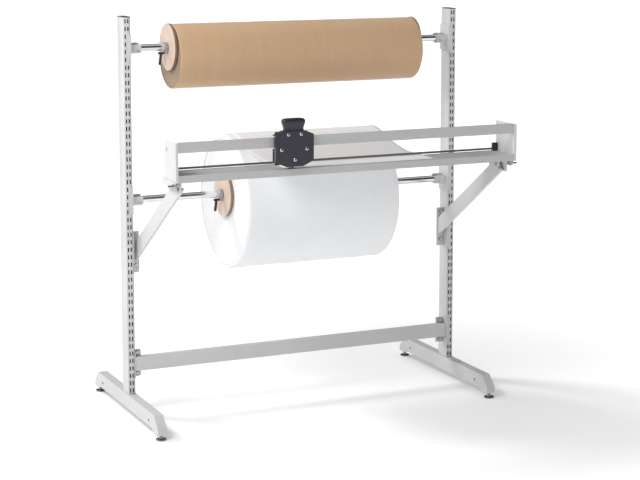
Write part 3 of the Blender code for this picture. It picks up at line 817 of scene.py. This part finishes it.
# ---------------------------------------------------------------- feet and caps
def levelling_foot(name):
    low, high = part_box(f"{name}_levelling_foot")
    at = ((low.x + high.x) / 2, (low.y + high.y) / 2, 0)
    wide = (high.x - low.x) / 2
    work = bmesh.new()
    pad = [(0, 0), (wide - 0.0012, 0), (wide - 0.0002, 0.0009), (wide - 0.0002, 0.0046),
           (wide - 0.0016, 0.0060), (0.0120, 0.0072), (0.0100, 0.0074), (0, 0.0074)]
    hub = [(0, 0.0070), (0.0098, 0.0070), (0.0098, 0.0084), (0.0074, 0.0098), (0.0070, 0.0128),
           (0.0058, 0.0138), (0, 0.0138)]
    lathe(work, pad, place(at), 48, 1)
    lathe(work, hub, place(at), 32)
    thread(work, place(at), 0.0049, 0.0136, high.z)
    piece(f"{name}_levelling_pad", work, [ZINC, PAD], f"{name}_foot", at, 40,
          [f"{name}_levelling_foot"])
    return at


def lock_nut(name, at):
    low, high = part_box(f"{name}_lock_nut")
    across, bore, chamfer, narrow = 0.0098, 0.0053, 0.0010, 0.88
    work = bmesh.new()

    def ring(radius, z):
        return [work.verts.new((at[0] + x, at[1] + y, z)) for x, y in polygon(radius, 6, 0.2)]

    rows = [ring(across * share, z) for z, share in
            ((low.z, narrow), (low.z + chamfer, 1.0), (high.z - chamfer, 1.0), (high.z, narrow))]
    skin(work, rows)
    for row in (rows[0], rows[-1]):
        skin(work, [row, ring(bore, row[0].co.z)])
    piece(f"{name}_chamfered_nut", work, [ZINC], "frame", at, 20, [f"{name}_lock_nut"])


def ribbed_cap(word):
    """The lid of an upright, and its plug with two ribs in the tube."""
    low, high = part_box(f"{word}_upright_cap")
    wall, rib_wall = 0.0035, 0.0034    # from the lid's edge to the plug and to its ribs
    work = bmesh.new()
    block(work, (low.x, low.y, high.z - 0.0033), (high.x, high.y, high.z), 0.0013, 3)
    block(work, (low.x + wall, low.y + wall, low.z),
          (high.x - wall, high.y - wall, high.z - 0.0030), 0.0008)
    for row in range(2):
        z = high.z - 0.0075 - row * 0.0035
        block(work, (low.x + rib_wall, low.y + rib_wall, z),
              (high.x - rib_wall, high.y - rib_wall, z + 0.0012))
    piece(f"{word}_ribbed_cap", work, [CAP], "frame", (low + high) / 2, 40,
          [f"{word}_upright_cap"])


for word, _ in SIDES:
    for end in ("front", "rear"):
        lock_nut(f"{word}_{end}", levelling_foot(f"{word}_{end}"))
for word, _ in SIDES:
    ribbed_cap(word)


# ---------------------------------------------------------------- fasteners
def bracket_bolts(word, side):
    """Bolts through the arms' and the crossbar's plates."""
    plate_x = side * 0.7295
    work = bmesh.new()
    face = MID_Y - 0.0047
    for z in (0.774, 0.645):
        hex_bolt(work, (plate_x, face, z), TO_FRONT, 0.010)
    piece(f"{word}_arm_bolts", work, [ZINC], "frame", (plate_x, face, 0.7), 25)

    low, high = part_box(f"{word}_crossbar_bracket")
    work = bmesh.new()
    face = MID_Y - 0.0055
    from_end = 0.013
    for z in (high.z - from_end, low.z + from_end):
        hex_bolt(work, (plate_x, face, z), TO_FRONT, 0.010)
    piece(f"{word}_crossbar_bolts", work, [ZINC], "frame", (plate_x, face, 0.22), 25)


def foot_screws(word, side):
    """Screws in both sides of a foot beam."""
    low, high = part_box(f"{word}_foot_beam")
    sunk = 0.0028
    work = bmesh.new()
    for sign in (-1, 1):
        for x, turn in ((low.x + sunk, TO_LEFT), (high.x - sunk, TO_RIGHT)):
            pan_screw(work, (x, MID_Y + sign * 0.312, 0.060), turn, 0.013)
    piece(f"{word}_foot_screws", work, [PAD, BLACK], "frame",
          (side * 0.765, MID_Y, 0.06), 40)


def end_plate_screws(word, side):
    """Screws through the end plate into the rail's and the bed's ends."""
    low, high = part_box(f"{word}_end_plate")
    outside = high.x if side > 0 else low.x
    face = side * 0.7505
    work = bmesh.new()
    hex_bolt(work, (face, MID_Y - 0.487, high.z - 0.038), outward(side), 0.0095)
    for y, z in ((-0.5735, 1.2307), (-0.552, 1.2066), (-0.600, 1.099), (-0.497, 1.099)):
        pan_screw(work, (face, MID_Y + y, z), outward(side), 0.0085)
    piece(f"{word}_end_plate_screws", work, [SCREW, BLACK], "frame",
          (outside, MID_Y - 0.54, 1.16), 25)


def mount_fixings(word, side):
    """Bolts through the mount's shelf and cheek, and the clamp screw that stands out sideways."""
    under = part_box(f"{word}_cutter_mount")[1].z - 0.0030
    turn = outward(side)
    work = bmesh.new()
    for y in (-0.562, -0.520):
        at = (side * 0.7450, MID_Y + y, under)
        hex_bolt(work, at, TO_DOWN, 0.0085)
        thread(work, place((at[0], at[1], under - 0.018)), 0.0030, 0, 0.012, 0.001)
    clamp_at = (side * 0.7572, MID_Y - 0.580, 1.0705)
    hex_bolt(work, clamp_at, turn, 0.0110)
    thread(work, place(clamp_at, turn), 0.0034, 0.007, 0.0275, index=1)
    for x, way, size in ((0.7333, turn, 0.0095), (0.718, outward(-side), 0.0085)):
        for y, z in ((-0.556, 1.050), (-0.522, 1.062)):
            hex_bolt(work, (side * x, MID_Y + y, z), way, size)
    piece(f"{word}_mount_fixings", work, [ZINC, CAP], "frame",
          (side * 0.74, MID_Y - 0.54, 1.06), 25)


def holder_screws(level, word, side):
    """The rod's lock screw in the top edge of the cradle's rear wall, and a bolt in its front."""
    rod = middle(f"{level}_rod")
    x = side * 0.7115
    work = bmesh.new()
    pan_screw(work, (x, rod.y + 0.0185, rod.z + 0.021), None, 0.0062)
    hex_bolt(work, (x, rod.y - 0.021, rod.z - 0.010), TO_FRONT, 0.0060)
    piece(f"{level}_{word}_holder_screws", work, [ZINC, BLACK], "frame",
          (x, rod.y, rod.z), 25)


for word, side in SIDES:
    bracket_bolts(word, side)
    foot_screws(word, side)
    end_plate_screws(word, side)
    mount_fixings(word, side)
    for level in LEVELS:
        holder_screws(level, word, side)


# ---------------------------------------------------------------- stage, light and camera
def studio_floor():
    work = bmesh.new()
    bmesh.ops.create_grid(work, x_segments=1, y_segments=1, size=400)
    floor = bpy.data.objects.new("floor", finish_mesh("floor", work))
    look = Look("studio_floor", (0.90, 0.90, 0.90), 0.9, Specular_IOR_Level=0.0)
    cloud = look.noise(0.6, 2.0)
    look.set("Base Color", look.ramp(cloud, (NOISE_LOW, (0.895, 0.895, 0.895)),
                                     (NOISE_HIGH, (0.905, 0.905, 0.905))))
    # the floor glows more away from the stand: it stays white there, and the shadows show near it
    inputs = {0: look.place}
    away = look.node("ShaderNodeVectorMath", inputs, operation="LENGTH").outputs["Value"]
    look.glow(look.spread(away, 0.9, 2.8, 0.13, 0.42))
    floor.data.materials.append(look.material)
    scene.collection.objects.link(floor)


def studio_world():
    """Soft grey light, a room with a dark band for reflections, and white for the camera."""
    world = bpy.data.worlds.new("studio")
    world.use_nodes = True
    tree = world.node_tree
    background = tree.nodes["Background"]
    background.inputs["Strength"].default_value = 1.0
    direction = add_node(tree, "ShaderNodeTexCoord").outputs["Generated"]
    up = add_node(tree, "ShaderNodeSeparateXYZ", {0: direction}).outputs["Z"]
    height = add_node(tree, "ShaderNodeMapRange", {0: up, 1: -1, 2: 1}).outputs[0]

    def tinted(grey):
        return grey, grey, grey * 1.01

    def greys(*stops):
        return add_ramp(tree, height, [(position, tinted(grey)) for position, grey in stops])

    soft = greys((0.0, 0.6), (0.5, 0.38), (0.62, 0.42), (0.8, 0.49), (1.0, 0.54))
    crisp = greys((0.0, 1.0), (0.47, 0.85), (0.50, 0.05), (0.88, 0.06), (0.94, 0.55), (1.0, 0.9))
    ray = add_node(tree, "ShaderNodeLightPath").outputs
    room = add_mix(tree, ray["Is Glossy Ray"], soft, crisp)
    seen = add_mix(tree, ray["Is Camera Ray"], room, tinted(1.0))
    tree.links.new(seen, background.inputs["Color"])
    scene.world = world


def shine(name, kind, at, aim, energy):
    lamp = bpy.data.lights.new(name, kind)
    lamp.energy = energy
    new = bpy.data.objects.new(name, lamp)
    new.location = at
    new.rotation_euler = (Vector(aim) - Vector(at)).to_track_quat("-Z", "Y").to_euler()
    scene.collection.objects.link(new)
    return lamp


def studio_lights():
    window = shine("window", "SUN", (-3.24, 3.16, 4.0), (0, 0, 0), 1.45)
    window.angle = radians(16)
    panel = shine("panel", "AREA", (-2.9, -1.3, 3.4), (-0.4, 0, 0.6), 78)
    panel.shape, panel.size = "DISK", 1.6


def studio_camera():
    """The photograph's camera, from a perspective fit."""
    lens = bpy.data.cameras.new("camera")
    lens.sensor_width = 36
    lens.lens = 99.28
    lens.shift_y = -0.1328
    lens.clip_end = 100
    pitch, yaw = 7.97, 24.40
    camera = bpy.data.objects.new("camera", lens)
    camera.location = (-3.0492, -7.0071 + MID_Y, 2.1446)
    camera.rotation_euler = (radians(90 - pitch), 0, -radians(yaw))
    scene.collection.objects.link(camera)
    scene.camera = camera
    scene.view_settings.view_transform = "Standard"


studio_floor()
studio_world()
studio_lights()
studio_camera()
